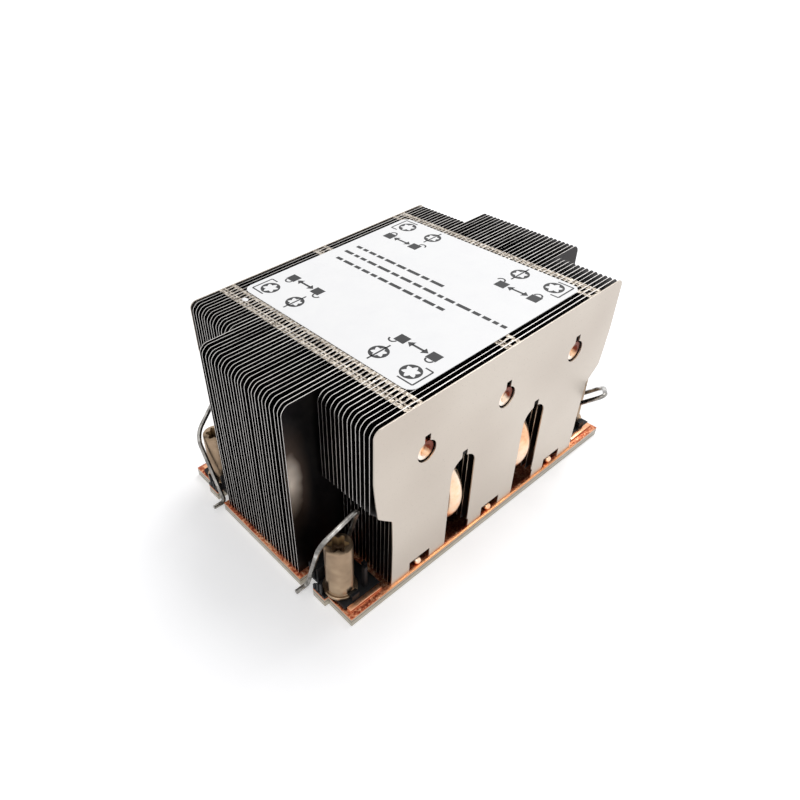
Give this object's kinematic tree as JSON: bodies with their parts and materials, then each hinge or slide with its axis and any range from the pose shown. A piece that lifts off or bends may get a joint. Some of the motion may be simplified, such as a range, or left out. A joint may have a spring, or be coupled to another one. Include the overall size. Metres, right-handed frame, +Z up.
{
  "type": "server processor heatsink",
  "caption": "Passive server processor heatsink: a thin-fin stack on a copper base with bent heat pipes, captive corner nuts and swinging wire bails.",
  "frame": {"origin": "centre of the base plate's underside", "axes": "+X along the air flow and the object's length, towards the rear, +Y across the fins towards the left, +Z up"},
  "size_m": [0.124, 0.086, 0.0641],
  "materials": {
    "copper_base": "machined copper with plated edges",
    "copper_pipe": "drawn copper, satin",
    "plated_fin": "nickel-plated sheet, satin",
    "black_plastic": "moulded, satin",
    "bronze_nut": "turned, dull",
    "spring_wire": "drawn spring steel",
    "label_film": "printed film, matt"
  },
  "bodies": {
    "heatsink": {"base_plate": "copper_base", "centre_fins_01": "plated_fin", "centre_fins_02": "plated_fin", "centre_fins_03": "plated_fin", "centre_fins_04": "plated_fin", "centre_fins_05": "plated_fin", "centre_fins_06": "plated_fin", "centre_fins_07": "plated_fin", "centre_fins_08": "plated_fin", "centre_fins_09": "plated_fin", "centre_fins_10": "plated_fin", "centre_fins_11": "plated_fin", "centre_fins_12": "plated_fin", "centre_fins_13": "plated_fin", "clip_front_left": "black_plastic", "clip_front_right": "black_plastic", "clip_rear_left": "black_plastic", "clip_rear_right": "black_plastic", "end_plate_left": "plated_fin", "end_plate_right": "plated_fin", "heat_pipe_1": "copper_pipe", "heat_pipe_2": "copper_pipe", "heat_pipe_3": "copper_pipe", "heat_pipe_4": "copper_pipe", "heat_pipe_5": "copper_pipe", "label": "label_film", "side_fin_left_01": "plated_fin", "side_fin_left_02": "plated_fin", "side_fin_left_03": "plated_fin", "side_fin_left_04": "plated_fin", "side_fin_left_05": "plated_fin", "side_fin_left_06": "plated_fin", "side_fin_left_07": "plated_fin", "side_fin_left_08": "plated_fin", "side_fin_left_09": "plated_fin", "side_fin_left_10": "plated_fin", "side_fin_left_11": "plated_fin", "side_fin_left_12": "plated_fin", "side_fin_left_13": "plated_fin", "side_fin_right_01": "plated_fin", "side_fin_right_02": "plated_fin", "side_fin_right_03": "plated_fin", "side_fin_right_04": "plated_fin", "side_fin_right_05": "plated_fin", "side_fin_right_06": "plated_fin", "side_fin_right_07": "plated_fin", "side_fin_right_08": "plated_fin", "side_fin_right_09": "plated_fin", "side_fin_right_10": "plated_fin", "side_fin_right_11": "plated_fin", "side_fin_right_12": "plated_fin", "side_fin_right_13": "plated_fin"},
    "nut_front_right": {"nut_front_right": "bronze_nut"},
    "wire_front_right": {"wire_front_right": "spring_wire"},
    "nut_front_left": {"nut_front_left": "bronze_nut"},
    "wire_front_left": {"wire_front_left": "spring_wire"},
    "nut_rear_right": {"nut_rear_right": "bronze_nut"},
    "wire_rear_right": {"wire_rear_right": "spring_wire"},
    "nut_rear_left": {"nut_rear_left": "bronze_nut"},
    "wire_rear_left": {"wire_rear_left": "spring_wire"}
  },
  "joints": [
    {"name": "nut_front_right_turn", "type": "hinge", "parent": "heatsink", "child": "nut_front_right", "pos_m": [-0.0525, -0.0295, 0.012], "axis": [0, 0, 1], "continuous": true},
    {"name": "wire_front_right_swing", "type": "hinge", "parent": "heatsink", "child": "wire_front_right", "pos_m": [-0.0448, -0.0222, 0.0043], "axis": [1, 0, 0], "range_deg": [-21, 29]},
    {"name": "nut_front_left_turn", "type": "hinge", "parent": "heatsink", "child": "nut_front_left", "pos_m": [-0.0525, 0.0295, 0.012], "axis": [0, 0, 1], "continuous": true},
    {"name": "wire_front_left_swing", "type": "hinge", "parent": "heatsink", "child": "wire_front_left", "pos_m": [-0.0448, 0.0222, 0.0043], "axis": [-1, 0, 0], "range_deg": [-30, 20]},
    {"name": "nut_rear_right_turn", "type": "hinge", "parent": "heatsink", "child": "nut_rear_right", "pos_m": [0.0525, -0.0295, 0.012], "axis": [0, 0, 1], "continuous": true},
    {"name": "wire_rear_right_swing", "type": "hinge", "parent": "heatsink", "child": "wire_rear_right", "pos_m": [0.0448, -0.0222, 0.0043], "axis": [1, 0, 0], "range_deg": [-49, 1]},
    {"name": "nut_rear_left_turn", "type": "hinge", "parent": "heatsink", "child": "nut_rear_left", "pos_m": [0.0525, 0.0295, 0.012], "axis": [0, 0, 1], "continuous": true},
    {"name": "wire_rear_left_swing", "type": "hinge", "parent": "heatsink", "child": "wire_rear_left", "pos_m": [0.0448, 0.0222, 0.0043], "axis": [-1, 0, 0], "range_deg": [-49, 1]}
  ]
}
